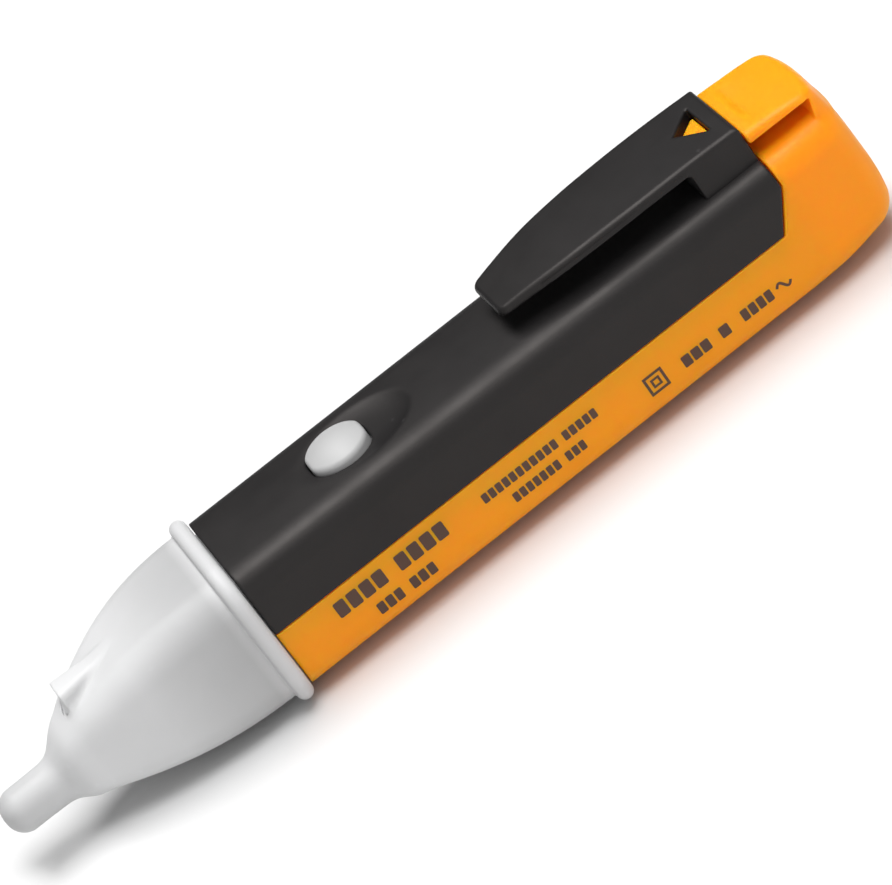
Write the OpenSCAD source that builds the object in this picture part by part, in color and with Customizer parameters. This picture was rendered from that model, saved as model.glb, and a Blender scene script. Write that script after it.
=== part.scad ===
// Non contact voltage tester.
// +X runs to the tail, +Z is the button side, z = 0 is the lowest point of the nose bead.

/* [Case] */
// Length over everything
total_l = 155; // [153:0.5:158]
// Width of the case across the flat sides
body_w = 24.4; // [24.4:0.1:25.4]
// Height of the case without the clip
body_h = 22.8; // [22.8:0.1:23.8]
// How far the bead behind the nose stands out
bead_out = 1.6; // [1.2:0.1:2]
// Wall of the black shell
shell_wall = 1.7; // [1.5:0.05:1.8]
// Wall of the orange trough
trough_wall = 1.5; // [1.3:0.05:1.55]

/* [Clip and button] */
// Width of the clip where it is widest
clip_w = 17.4; // [14:0.1:17.6]
// Width of the clip at its tip
clip_tip_w = 9.7; // [8:0.1:11]
// Diameter of the button before its ends are cut flat
button_d = 10.1; // [8:0.1:10.4]
// Travel of the button
button_travel = 0.7; // [0.4:0.05:0.7]

/* [Inside] */
// Diameter of an AAA cell
cell_d = 10.3; // [9.8:0.1:10.4]
// Length of an AAA cell over its plus cap
cell_l = 44.3; // [43.5:0.1:44.5]

/* [Hidden] */
eps = 0.01;

// places along the axis
tail_x = total_l / 2;
tip_x = -total_l / 2;
bead_back = tip_x + 46.05;
front_x = bead_back + 0.25;
roof_end = tail_x - 14.5;
block_x = roof_end - 9.2;
clip_axis_x = block_x - 0.8;
clip_tip_x = clip_axis_x - 32;
button_x = -8.25;

// heights
z0 = bead_out;
z1 = z0 + body_h;
part_z = z0 + 11.8;
part_gap = 0.2;
half_w = body_w / 2;
r_top = 4.75;
r_bot = 5;
block_top = z1 + 5.5;
clip_top = z1 + 6;
tongue_top = z1 + 4.5;

// inside the case
cell_z = z0 + 2 + cell_d / 2;
cell_y = cell_d / 2 + 0.05;
spring_room = 3.1;
cradle_back = roof_end - 2.8;
cell_x1 = cradle_back - 0.15;
cell_x0 = cell_x1 - cell_l - spring_room;
bulk_x0 = cell_x0 - 1.85;
frame_x0 = front_x + 4.4;
rail_z = z0 + 9.6;
floor_z = rail_z + 1.2;
deck_z = cell_z + cell_d / 2 + 0.3;
deck_t = 1.2;
board_z = floor_z + 1.8;
board_t = 1.6;
board_top = board_z + board_t;
board_x1 = bulk_x0 - 1;
screw_at = [[frame_x0 + 3.3, 6.8], [frame_x0 + 3.3, -6.8],
    [board_x1 - 3.9, 6.8], [board_x1 - 3.9, -6.8]];
rear_screw_x = roof_end - 18.4;
switch_h = 3.6;
plunger_top = board_top + switch_h + 0.8;
flange_z = board_top + switch_h + button_travel + 0.4;
pad_z = flange_z + 1.15;
buzzer_x = 27;

// flat end cuts on the button and its hole
function button_flat(extra) = button_d / 2 * 0.94 + extra;

// ---------- outlines ----------
// Points on an arc round c
function arc(c, r, a0, a1, n = 6) =
    [for (i = [0:n]) let (a = a0 + (a1 - a0) * i / n) c + r * [cos(a), sin(a)]];

// Rounded box across the axis, as y, z points
function box_outline(w, low, high, rb, rt, n = 6) = concat(
    arc([w - rb, low + rb], rb, -90, 0, n), arc([w - rt, high - rt], rt, 0, 90, n),
    arc([rt - w, high - rt], rt, 90, 180, n), arc([rb - w, low + rb], rb, 180, 270, n));

// Case section, moved inward by d
function case_outline(d) =
    box_outline(half_w - d, z0 + d, z1 - d, max(r_bot - d, 0.5), max(r_top - d, 0.5));

// Case section above height zz, moved inward by d
function upper_outline(d, zz) = let (w = half_w - d, r = r_top - d, h = z1 - d) concat(
    [[w, zz]], arc([w - r, h - r], r, 0, 90), arc([r - w, h - r], r, 90, 180), [[-w, zz]]);

module along_x(x0, x1)
    translate([x0, 0, 0]) rotate([90, 0, 90]) linear_extrude(x1 - x0) children();

module along_y(half)
    translate([0, half, 0]) rotate([90, 0, 0]) linear_extrude(2 * half) children();

module box_at(low, high)
    translate(low) cube(high - low);

// ---------- lofts and tubes ----------
// Faces that join n rings of m points, closed at both ends
function loft_faces(n, m) = concat(
    [[for (j = [0:m - 1]) j]],
    [for (i = [0:n - 2], j = [0:m - 1]) let (k = (j + 1) % m)
        each [[i * m + j, (i + 1) * m + j, i * m + k],
            [(i + 1) * m + j, (i + 1) * m + k, i * m + k]]],
    [[for (j = [0:m - 1]) n * m - 1 - j]]);

module loft(rings)
    polyhedron([for (r = rings) each r], loft_faces(len(rings), len(rings[0])), convexity = 6);

// A point between b and c on a smooth curve through a, b, c, d
function curve_point(a, b, c, d, t) = 0.5 * (2 * b + (c - a) * t
    + (2 * a - 5 * b + 4 * c - d) * t * t + (3 * b - 3 * c + d - a) * t * t * t);

// A smooth path through the points, n steps to a span
function smooth(p, n) = let (e = len(p) - 1) concat(
    [for (i = [0:e - 1], s = [0:n - 1])
        curve_point(p[max(i - 1, 0)], p[i], p[i + 1], p[min(i + 2, e)], s / n)], [p[e]]);

// Ring of radius r round p, square to t
function tube_ring(p, t, r, sides) =
    let (side = cross(t, [0.1, 1, 0.05]), u = side / norm(side), v = cross(t, u) / norm(t))
    [for (i = [0:sides - 1]) p + r * (cos(360 * i / sides) * u + sin(360 * i / sides) * v)];

module tube(path, r, sides = 8) {
    e = len(path) - 1;
    loft([for (i = [0:e])
        tube_ring(path[i], path[min(i + 1, e)] - path[max(i - 1, 0)], r, sides)]);
}

// Wire of a conical coil on +X, from radius ra to rb
function coil_path(x, y, z, ra, rb, length, turns, steps) =
    [for (i = [0:turns * steps]) let (f = i / (turns * steps), r = ra + (rb - ra) * f)
        [x + length * f, y + r * cos(360 * i / steps), z + r * sin(360 * i / steps)]];

module coil(x, y, z, ra, rb, length, turns) {
    steps = 12;
    path = coil_path(x, y, z, ra, rb, length, turns, steps);
    e = len(path) - 1;
    loft([for (i = [0:e]) let (a = 360 * i / steps)
        [for (s = [0:5]) path[i] + 0.27 * [-sin(60 * s), cos(60 * s) * cos(a), cos(60 * s) * sin(a)]]]);
}

// ---------- nose ----------
prong_w = 3.3;
prong_z0 = z0 + 4.65;
prong_z1 = z0 + 11.25;
cone_end = tip_x + 10.1;
cone_start = bead_back - 2.65;

// Outline of the nose at u, 0 at the bead and 1 at the prong, moved inward by d
function nose_outline(u, d) = box_outline(
    half_w - (half_w - prong_w) * pow(u, 2.1) - d,
    z0 + (prong_z0 - z0) * pow(u, 2.2) + d,
    z1 - (z1 - prong_z1) * pow(u, 2.5) - d,
    r_bot - 2.2 * pow(u, 3) - d * 0.6, r_bot - 2.2 * pow(u, 3) - d * 0.6, 5);

function at_x(x, outline) = [for (p = outline) [x, p.x, p.y]];

function cone_ring(x, d) =
    at_x(x, nose_outline(max(0, min(1, (cone_start - x) / (cone_start - cone_end))), d));

// Rounded end of the prong: inset d at distance a from the tip
function tip_ring(a, d) = at_x(tip_x + a,
    box_outline(prong_w - d, prong_z0 + d, prong_z1 - d, 2.8 - d * 0.8, 2.8 - d * 0.8, 5));

module nose_outer() loft([
    tip_ring(0, 1.9), tip_ring(0.25, 1.1), tip_ring(0.8, 0.45), tip_ring(1.7, 0.1), tip_ring(2.6, 0),
    for (x = [cone_end, cone_end + 0.8, cone_end + 2, cone_end + 4, cone_end + 7, cone_end + 11,
        cone_end + 16, cone_end + 22, cone_end + 28, cone_start]) cone_ring(x, 0),
    cone_ring(cone_start + 0.1, -0.9), cone_ring(cone_start + 0.45, -bead_out * 0.85),
    cone_ring(cone_start + 1.1, -bead_out), cone_ring(cone_start + 1.6, -bead_out),
    cone_ring(cone_start + 2.25, -bead_out * 0.85), cone_ring(bead_back, -0.9)]);

module nose_inner() loft([
    tip_ring(1.9, 2.1), tip_ring(2.4, 1.5),
    for (x = [cone_end + 1.5, cone_end + 4, cone_end + 7, cone_end + 11,
        cone_end + 16, cone_end + 22, cone_end + 28, cone_start]) cone_ring(x, 1.5),
    cone_ring(bead_back + 1, 3.15)]);

// Beaked ridge on top of the nose
module beak() intersection() {
    along_y(4) polygon([[cone_end + 6.9, z0 + 15.2], [cone_end + 6.9, z0 + 19.7],
        [cone_end + 7.4, z0 + 20.2], [cone_end + 17, z0 + 20.2], [cone_end + 17, z0 + 19],
        [cone_end + 9, z0 + 15.2]]);
    along_x(cone_end, cone_end + 20)
        polygon([[-3.3, z0 + 14], [-2.8, z0 + 20.3], [2.8, z0 + 20.3], [3.3, z0 + 14]]);
}

// Crescent slit in front of the beak
module beak_slit() translate([cone_end + 6.9, 0, z0 + 13]) linear_extrude(6)
    polygon([[0, -2], [-0.7, -1.5], [-1, 0], [-0.7, 1.5], [0, 2]]);

module nose_shell() color([0.9, 0.9, 0.88]) {
    difference() {
        union() {
            nose_outer();
            beak();
        }
        nose_inner();
        beak_slit();
    }
    difference() {
        along_x(bead_back - 0.6, front_x + 4) polygon(case_outline(shell_wall + 0.15));
        along_x(bead_back - 1, front_x + 5) polygon(case_outline(shell_wall + 1.45));
    }
}

// ---------- black upper shell ----------
diag_x = roof_end - 3.6;
diag_z = z1 - 4.5;

// Side view of the region behind the slanted rear corner; g widens it
function rear_corner(g) = [[diag_x - g, part_z - 2], [diag_x - g, part_z],
    [roof_end - g, diag_z], [roof_end + 5, diag_z], [roof_end + 5, part_z - 2]];

scoop_x = -5.4;
scoop_l = 9.95;
scoop_w = 8.25;
scoop_depth = 1.05;

// Depth of the scoop at f times its half width, in the direction i
function scoop_at(f, i) = scoop_depth * (1 - pow(f, 3)) * (1 + 0.2 * f * cos(7.5 * i));

// Oval bowl round the button, deeper to the tail, as stacked rings
module oval_scoop() translate([scoop_x, 0, z1 + 0.01]) rotate([0, 90, 0])
    loft([for (f = [0.02, 0.3, 0.5, 0.65, 0.78, 0.9, 1])
        [for (i = [0:47]) [scoop_at(f, i), f * scoop_w * sin(7.5 * i), f * scoop_l * cos(7.5 * i)]]]);

// Thicker roof under the scoop, which also guides the button
module scoop_pad() translate([scoop_x, 0, pad_z]) linear_extrude(z1 - 1 - pad_z)
    polygon([for (i = [0:47]) [(scoop_l + 0.4) * cos(7.5 * i), (scoop_w + 0.4) * sin(7.5 * i)]]);

module button_outline(d, extra) intersection() {
    circle(d = d, $fn = 48);
    square([2 * button_flat(extra), d + 2], center = true);
}

module clip_block() difference() {
    along_x(block_x, roof_end) polygon(concat([[-clip_w / 2 - 0.1, z1 - 0.6]],
        arc([-clip_w / 2 + 1.1, block_top - 0.8], 0.8, 180, 90, 3),
        arc([clip_w / 2 - 1.1, block_top - 0.8], 0.8, 90, 0, 3), [[clip_w / 2 + 0.1, z1 - 0.6]]));
    box_at([block_x + 1.4, -6.2, z1], [roof_end + 1, 6.2, block_top - 1.7]);
    // window, its apex to the nose
    translate([0, 0, block_top - 3]) linear_extrude(5)
        polygon([[block_x + 1.8, 0], [roof_end - 2.6, -4.8], [roof_end - 2.6, 4.8]]);
}

// Slab that carries the clip
module clip_lug() box_at([clip_axis_x, -clip_w / 2 + 0.1, clip_top - 1.9],
    [block_x + 0.5, clip_w / 2 - 0.1, block_top]);

// Half round seat for the clip's end
module clip_seat(r) translate([clip_axis_x, 0, clip_top - 0.95]) rotate([90, 0, 0])
    cylinder(r = r, h = clip_w + 2, center = true, $fn = 40);

module shell_bosses() {
    for (p = screw_at) translate([p.x, p.y, board_top + 0.05])
        screw_boss(z1 - shell_wall / 2 - board_top - 0.05);
    translate([rear_screw_x, 0, deck_z + deck_t + 0.05])
        screw_boss(z1 - shell_wall / 2 - deck_z - deck_t - 0.05);
}

module screw_boss(h) difference() {
    cylinder(d = 4.6, h = h, $fn = 32);
    translate([0, 0, -eps]) cylinder(d = 2.3, h = h - 1.4, $fn = 24);
}

module upper_shell() color([0.2, 0.19, 0.2]) difference() {
    union() {
        difference() {
            along_x(front_x, roof_end) polygon(upper_outline(0, part_z + part_gap / 2));
            along_x(front_x - 1, roof_end + 1) polygon(upper_outline(shell_wall, part_z - 1));
            along_y(20) polygon(rear_corner(0));
        }
        scoop_pad();
        shell_bosses();
        clip_block();
        clip_lug();
    }
    clip_seat(1.03);
    oval_scoop();
    translate([button_x, 0, pad_z - 1]) linear_extrude(6) button_outline(button_d + 0.4, 0.2);
}

// ---------- orange cover ----------
notch_x = tail_x - 3.6;
notch_z = tongue_top - 1.85;
tongue_half = 9.1;

// Side view of the cover, moved inward by d
function cover_side(d) = concat(
    [[front_x + d * 0.01, z0 + d], [roof_end - 3, z0 + d], [roof_end + 2, z0 + 0.2 + d],
        [roof_end + 6, z0 + 0.7 + d]],
    arc([tail_x - 5.2, z0 + 6.2], 4.7 - d, -72, -8, 5),
    [[tail_x - d, z0 + 12], [tail_x - d, z0 + 15], [tail_x - 0.25 - d, z0 + 19.5],
        [tail_x - 0.7 - d, z1 - d]],
    [[roof_end + 0.2, z1 + 1], [roof_end + 0.2, diag_z], [diag_x + 0.25, part_z - part_gap / 2],
        [front_x, part_z - part_gap / 2]]);

// Plan of the cover, moved inward by d
function cover_plan(d) = let (half = concat(
    [[front_x, half_w - d], [roof_end - 3, half_w - d], [roof_end + 2, half_w - 0.2 - d],
        [roof_end + 6, half_w - 0.7 - d]],
    arc([tail_x - 5.2, half_w - 6.1], 4.8 - d, 72, 8, 5), [[tail_x - d, 1.5]]))
    concat(half, [for (i = [len(half) - 1:-1:0]) [half[i].x, -half[i].y]]);

module cover_body() intersection() {
    along_x(front_x, tail_x + 1) polygon(case_outline(0));
    along_y(20) polygon(cover_side(0));
    linear_extrude(60) polygon(cover_plan(0));
}

module cover_hollow() {
    along_x(front_x - 1, roof_end + 0.9) polygon(case_outline(trough_wall));
    intersection() {
        along_x(roof_end, tail_x + 1) polygon(case_outline(2));
        along_y(20) polygon([[roof_end - 1, z0 + 1], [tail_x - 5, z0 + 2.4], [tail_x - 2, z0 + 8],
            [tail_x - 2, z1 - 2], [roof_end - 1, z1 - 2]]);
        linear_extrude(60) polygon(cover_plan(1.9));
    }
}

// Lip that slips inside the rear of the upper shell
module rear_lip() difference() {
    along_x(roof_end - 1.7, roof_end + 1.5) polygon(upper_outline(shell_wall + 0.15, part_z + 4));
    along_x(roof_end - 2, roof_end + 2) polygon(upper_outline(shell_wall + 1.15, part_z + 3));
}

// Hump behind the press tongue, with the half round seat it turns in
module tail_hump() difference() {
    intersection() {
        along_y(tongue_half) polygon(concat([[notch_x, z1 - 1], [notch_x, notch_z + 0.97]],
            arc([tail_x - 2.8, z1 + 1.9], 1.6, 80, 0, 5), [[tail_x - 0.9, z1 - 1]]));
        linear_extrude(60) polygon([[notch_x - 1, -tongue_half], [tail_x - 2, 0.6 - tongue_half],
            [tail_x - 0.5, 3.1 - tongue_half], [tail_x - 0.5, tongue_half - 3.1],
            [tail_x - 2, tongue_half - 0.6], [notch_x - 1, tongue_half]]);
    }
    tongue_seat(1.05);
}

module tongue_seat(r) translate([notch_x, 0, notch_z]) rotate([90, 0, 0])
    cylinder(r = r, h = 20, center = true, $fn = 40);

module battery_cover() color([0.94, 0.56, 0.12]) {
    difference() {
        cover_body();
        cover_hollow();
        // grooves that run on the rails of the chassis
        for (s = [-1, 1]) translate([0, s * (half_w - trough_wall), 0])
            box_at([front_x - 1, -0.7, rail_z - 0.15], [roof_end - 3.6, 0.7, rail_z + 1.15]);
    }
    rear_lip();
    tail_hump();
}

// ---------- press tongue ----------
module latch_tongue() color([0.98, 0.66, 0.1]) {
    difference() {
        union() {
            along_y(tongue_half) polygon(concat([[roof_end + 0.2, tongue_top - 2],
                [roof_end + 0.2, tongue_top], [roof_end + 4.5, tongue_top - 0.25],
                [notch_x - 1.5, notch_z + 1.1]],
                arc([notch_x, notch_z], 0.97, 90, -90, 8), [[notch_x - 1.5, notch_z - 0.95]]));
            // part under the black roof
            box_at([block_x + 3.2, -3.2, block_top - 3.5], [roof_end + 2, 3.2, block_top - 2]);
            translate([0, 0, block_top - 2.5]) linear_extrude(1.5) polygon([[block_x + 3.4, 0],
                [roof_end - 2.9, -2.5], [roof_end - 2.9, 2.5]]);
        }
        // thumb notch
        translate([roof_end + 6, 0, tongue_top + 5.7]) rotate([0, -7, 0])
            cylinder(r = 4.6, h = 12, center = true, $fn = 40);
    }
}

// ---------- pocket clip ----------
// Side view: top line, then the under line back
module clip_side() polygon(concat(
    [[clip_tip_x, clip_top - 3.1], [clip_tip_x, clip_top - 2.2], [clip_tip_x + 0.4, clip_top - 1.85],
        [clip_tip_x + 9.7, clip_top - 0.6], [clip_tip_x + 16.7, clip_top - 0.2],
        [clip_tip_x + 25, clip_top]],
    arc([clip_axis_x, clip_top - 0.95], 0.95, 90, -90, 8),
    [[clip_tip_x + 25, clip_top - 1.8], [clip_tip_x + 16.7, clip_top - 2],
        [clip_tip_x + 9.7, clip_top - 2.3]]));

function clip_plan() = let (t = clip_tip_w / 2, w = clip_w / 2, half = concat(
    arc([clip_tip_x + 1.2, t - 1.2], 1.2, 180, 110, 3),
    [[clip_tip_x + 9.7, t + (w - t) * 0.65], [clip_tip_x + 16.7, t + (w - t) * 0.88],
        [clip_tip_x + 25, w], [clip_axis_x + 2, w]]))
    concat(half, [for (i = [len(half) - 1:-1:0]) [half[i].x, -half[i].y]]);

module pocket_clip() color([0.19, 0.18, 0.19]) intersection() {
    along_y(12) clip_side();
    linear_extrude(60) polygon(clip_plan());
}

// ---------- button and switch ----------
module power_button() color([0.82, 0.82, 0.83]) translate([button_x, 0, 0]) {
    intersection() {
        translate([0, 0, flange_z + 0.5]) linear_extrude(z1 + 3 - flange_z)
            button_outline(button_d, 0);
        translate([0, 0, z1 + 1.9 - 8]) sphere(r = 8, $fn = 72);
    }
    translate([0, 0, flange_z]) linear_extrude(1) button_outline(button_d + 2.3, 1.1);
    translate([0, 0, plunger_top + 0.02]) cylinder(d = 3, h = flange_z - plunger_top + 0.3, $fn = 32);
}

module switch_body() color([0.12, 0.12, 0.13]) translate([button_x, 0, board_top]) difference() {
    translate([-3, -3, 0.02]) cube([6, 6, switch_h]);
    translate([0, 0, 1.6]) cylinder(d = 3.6, h = 4, $fn = 32);
}

module switch_plunger() color([0.85, 0.84, 0.8]) translate([button_x, 0, board_top + 2.4])
    cylinder(d = 3.44, h = switch_h + 0.8 - 2.4, $fn = 32);

// ---------- chassis ----------
module bulkhead(x0, x1) difference() {
    along_x(x0, x1) polygon(box_outline(10.2, z0 + 2.1, deck_z + 0.3, 3.4, 0.4));
    for (s = [-1, 1]) translate([0, s * cell_y, cell_z]) rotate([0, 90, 0])
        cylinder(d = 3, h = 200, center = true, $fn = 32);
}

module chassis() color([0.16, 0.16, 0.17]) difference() {
    union() {
        // floor under the board, with its rails
        box_at([frame_x0, -10.2, rail_z], [bulk_x0 + 0.1, 10.2, floor_z]);
        for (s = [-1, 1]) {
            translate([0, s * 10.54, 0]) box_at([frame_x0, -0.7, rail_z], [roof_end - 4.2, 0.7, rail_z + 1]);
            translate([0, s * 10.1, 0]) box_at([bulk_x0, -0.25, rail_z], [cradle_back, 0.25, deck_z + 1]);
        }
        for (p = screw_at) translate([p.x, p.y, floor_z - 0.1]) cylinder(d = 4.6, h = 1.85, $fn = 32);
        // deck over the cells
        box_at([bulk_x0, -10.2, deck_z], [cradle_back + 1.3, 10.2, deck_z + deck_t]);
        bulkhead(bulk_x0, bulk_x0 + 1.35);
        bulkhead(cradle_back + 0.3, cradle_back + 1.6);
        translate([buzzer_x, 0, deck_z + deck_t - 0.1]) cylinder(d = 19.6, h = 2.9, $fn = 64);
    }
    for (p = screw_at) translate([p.x, p.y, rail_z - 1]) {
        cylinder(d = 2.4, h = 6, $fn = 24);
        cylinder(d = 4.2, h = 1.8, $fn = 32);
    }
    translate([rear_screw_x, 0, deck_z - 1]) cylinder(d = 2.4, h = 4, $fn = 24);
    // buzzer seat
    translate([buzzer_x, 0, deck_z + deck_t + 0.4]) cylinder(d = 15.6, h = 4, $fn = 48);
    translate([buzzer_x, 0, deck_z + deck_t + 2]) cylinder(d = 18.3, h = 4, $fn = 64);
    // slots for the contact tabs
    for (s = [-1, 1]) translate([0, s * cell_y, 0])
        box_at([cell_x0 - 0.6, -1.8, deck_z - 1], [cell_x0 + 0.2, 1.8, deck_z + deck_t + 1]);
}

// ---------- cells and contacts ----------
// Cell on +X from x0; dir 1 has its plus cap at the high x end
module cell(x0, y, dir) translate([x0 + (dir < 0 ? cell_l : 0), y, cell_z]) rotate([0, dir * 90, 0]) {
    cylinder(d = cell_d, h = cell_l - 0.9, $fn = 64);
    cylinder(d = 3.8, h = cell_l, $fn = 32);
}

module battery_left() color([0.15, 0.35, 0.2]) cell(cell_x1 - cell_l, -cell_y, 1);

module battery_right() color([0.15, 0.35, 0.2]) cell(cell_x0 + 0.05, cell_y, -1);

module contact_leaf(y, with_tab) translate([0, y, 0]) {
    box_at([cell_x0 - 0.45, -4, cell_z - 3.6], [cell_x0 - 0.05, 4, cell_z + 3.6]);
    box_at([cell_x0 - 0.45, -1.5, cell_z], [cell_x0 - 0.05, 1.5, deck_z + deck_t + 2]);
}

module contact_plate() color([0.78, 0.78, 0.76]) contact_leaf(cell_y);

module contact_spring() color([0.78, 0.78, 0.76]) {
    contact_leaf(-cell_y);
    coil(cell_x0 + 0.1, -cell_y, cell_z, 3, 2.2, spring_room - 0.55, 3);
}

module contact_bridge() color([0.78, 0.78, 0.76]) {
    box_at([cradle_back - 0.1, -9, cell_z - 3.6], [cradle_back + 0.27, 9, cell_z + 3.6]);
    coil(cradle_back - 0.2, cell_y, cell_z, 3, 2.2, -(spring_room - 0.55), 3);
}

// ---------- circuit board ----------
module circuit_board() color([0.1, 0.36, 0.2]) difference() {
    box_at([frame_x0 + 0.3, -9.5, board_z], [board_x1, 9.5, board_top]);
    for (p = screw_at) translate([p.x, p.y, board_z - 1]) cylinder(d = 2.5, h = 4, $fn = 24);
}

chip_x = -17;

module sense_chip() color([0.1, 0.1, 0.11]) {
    box_at([chip_x - 4.3, -4, board_top + 0.15], [chip_x + 4.3, -0.1, board_top + 1.65]);
    for (i = [0:6], y = [-5, 0]) translate([chip_x - 3.81 + i * 1.27, y, board_top])
        translate([-0.2, -0.1, 0.01]) cube([0.4, 1.1, 0.5]);
}

// A row of small chip parts
module chips(list, size) for (p = list) translate([p.x - size.x / 2, p.y - size.y / 2, board_top + 0.01])
    cube(size);

module chip_resistors() color([0.12, 0.12, 0.13])
    chips([[-17, 3], [-14.6, 3], [-19.4, 3], [0, 2.5], [2.4, 2.5], [0, 5]], [1.3, 2, 0.5]);

module chip_capacitors() color([0.72, 0.55, 0.38])
    chips([[-22.2, 3], [-3.2, 6], [-13.6, -7.5], [4.4, -0.8]], [1.3, 2, 0.9]);

module storage_capacitor() color([0.75, 0.76, 0.78]) translate([0.6, -5.2, board_top + 0.02]) {
    cylinder(d = 5, h = 5.4, $fn = 48);
    translate([-2.7, -2.7, 0]) cube([5.4, 5.4, 0.9]);
}

module transistor() color([0.1, 0.1, 0.11]) {
    box_at([6.2, -1, board_top + 0.15], [7.6, 1.9, board_top + 1.15]);
    for (p = [[5.7, -0.7], [5.7, 1.2], [7.5, 0.25]])
        translate([p.x, p.y, board_top + 0.01]) cube([0.6, 0.4, 0.5]);
}

// ---------- lamp ----------
led_x = front_x + 2.4;
led_z = board_top + 1.8;

module alarm_led() color([0.85, 0.1, 0.08]) translate([led_x, 0, led_z]) rotate([0, -90, 0]) {
    cylinder(d = 5.8, h = 1, $fn = 48);
    cylinder(d = 5, h = 6.1, $fn = 48);
    translate([0, 0, 6.1]) sphere(d = 5, $fn = 48);
}

module led_leads() color([0.75, 0.75, 0.76]) for (y = [-1.27, 1.27])
    tube(smooth([[led_x + 0.05, y, led_z], [led_x + 2, y, led_z], [frame_x0 + 1.1, y, led_z - 0.4],
        [frame_x0 + 1.4, y, board_top + 0.6], [frame_x0 + 1.4, y, board_top + 0.01]], 4), 0.25);

// ---------- pick-up ----------
strip_x1 = cone_end + 9.5;

module sensor_strip() color([0.8, 0.6, 0.3])
    box_at([tip_x + 3.2, -1.3, prong_z0 + 3.1], [strip_x1, 1.3, prong_z0 + 3.5]);

module sensor_wire() color([0.9, 0.9, 0.9])
    tube(smooth([[strip_x1 - 1.5, 0, prong_z0 + 4], [strip_x1 + 4, 0, prong_z0 + 4.2],
        [-48, 1, z0 + 10], [-40, 3.5, z0 + 12], [-33, 5, z0 + 15], [-28, 4.5, board_top + 1.6],
        [frame_x0 + 1.3, 4, board_top + 1], [frame_x0 + 1.6, 4, board_top + 0.02]], 5), 0.45);

// ---------- buzzer ----------
seat_z = deck_z + deck_t + 2;

module buzzer_disc() color([0.8, 0.65, 0.3]) translate([buzzer_x, 0, seat_z + 0.02])
    cylinder(d = 18.1, h = 0.3, $fn = 64);

module buzzer_ceramic() color([0.92, 0.91, 0.88]) translate([buzzer_x, 0, seat_z + 0.34])
    cylinder(d = 12.6, h = 0.25, $fn = 64);

module buzzer_wire_red() color([0.75, 0.1, 0.08])
    tube(smooth([[buzzer_x - 3, 2, seat_z + 0.95], [buzzer_x - 7, 3, seat_z + 2], [16, 4, seat_z + 1.8],
        [11, 4, board_top + 2.2], [8.6, 3.8, board_top + 1.2], [8.4, 3.6, board_top + 0.02]], 5), 0.35);

module buzzer_wire_black() color([0.08, 0.08, 0.08])
    tube(smooth([[buzzer_x - 7.6, -1, seat_z + 0.7], [buzzer_x - 9.6, -0.8, seat_z + 1.9],
        [15, 0, seat_z + 1.8], [11, 2, board_top + 2.2], [8.8, 2.2, board_top + 1.2],
        [8.6, 2, board_top + 0.02]], 5), 0.35);

// ---------- battery leads ----------
module battery_lead(s) tube(smooth([[cell_x0 - 0.8, s * (cell_y - 0.2), deck_z + deck_t + 1.4],
    [cell_x0 - 2.2, s * cell_y, deck_z + deck_t + 2], [10, s * 5.3, board_top + 1.6],
    [8.7, s * 5.6, board_top + 1], [8.5, s * 5.7, board_top + 0.02]], 5), 0.32);

module battery_wire_red() color([0.75, 0.1, 0.08]) battery_lead(1);

module battery_wire_black() color([0.08, 0.08, 0.08]) battery_lead(-1);

// ---------- screws ----------
module screw(x, y, seat) translate([x, y, seat]) difference() {
    union() {
        translate([0, 0, -1.1]) cylinder(d = 3.7, h = 1.1, $fn = 32);
        translate([0, 0, -0.2]) cylinder(d = 2.16, h = 7.6, $fn = 24);
    }
    for (a = [0, 90]) rotate([0, 0, a]) box_at([-1.2, -0.25, -1.5], [1.2, 0.25, -0.45]);
}

module case_screws() color([0.7, 0.7, 0.72]) {
    for (p = screw_at) screw(p.x, p.y, rail_z + 0.8 - 0.02);
    screw(rear_screw_x, 0, deck_z - 0.02);
}

nose_shell();
upper_shell();
battery_cover();
latch_tongue();
pocket_clip();
power_button();
chassis();
battery_left();
battery_right();
contact_spring();
contact_plate();
contact_bridge();
circuit_board();
switch_body();
switch_plunger();
sense_chip();
chip_resistors();
chip_capacitors();
storage_capacitor();
transistor();
alarm_led();
led_leads();
sensor_strip();
sensor_wire();
buzzer_disc();
buzzer_ceramic();
buzzer_wire_red();
buzzer_wire_black();
battery_wire_red();
battery_wire_black();
case_screws();
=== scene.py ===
# Looks of the non contact voltage tester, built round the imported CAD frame.
import bpy
import math
import numpy as np
from mathutils import Matrix, Vector


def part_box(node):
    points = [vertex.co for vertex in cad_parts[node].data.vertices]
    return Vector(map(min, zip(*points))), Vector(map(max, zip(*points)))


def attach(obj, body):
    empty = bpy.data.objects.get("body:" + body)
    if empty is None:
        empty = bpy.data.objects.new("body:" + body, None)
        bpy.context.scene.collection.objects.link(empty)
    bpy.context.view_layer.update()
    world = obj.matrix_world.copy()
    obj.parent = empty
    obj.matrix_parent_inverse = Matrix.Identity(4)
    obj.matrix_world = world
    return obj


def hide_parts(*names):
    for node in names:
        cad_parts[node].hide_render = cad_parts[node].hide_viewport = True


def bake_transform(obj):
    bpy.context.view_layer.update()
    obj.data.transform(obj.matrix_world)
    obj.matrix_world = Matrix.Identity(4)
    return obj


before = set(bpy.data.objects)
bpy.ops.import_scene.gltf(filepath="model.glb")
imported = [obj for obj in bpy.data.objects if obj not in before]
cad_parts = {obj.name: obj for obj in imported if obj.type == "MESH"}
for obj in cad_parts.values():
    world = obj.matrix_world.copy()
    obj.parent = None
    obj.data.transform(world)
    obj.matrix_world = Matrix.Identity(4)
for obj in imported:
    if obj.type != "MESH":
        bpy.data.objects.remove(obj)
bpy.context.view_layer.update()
MM = 0.001


def mm_box(node):
    """Lowest and highest corner of a CAD node, in millimetres."""
    low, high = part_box(node)
    return [c / MM for c in low], [c / MM for c in high]


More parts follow.
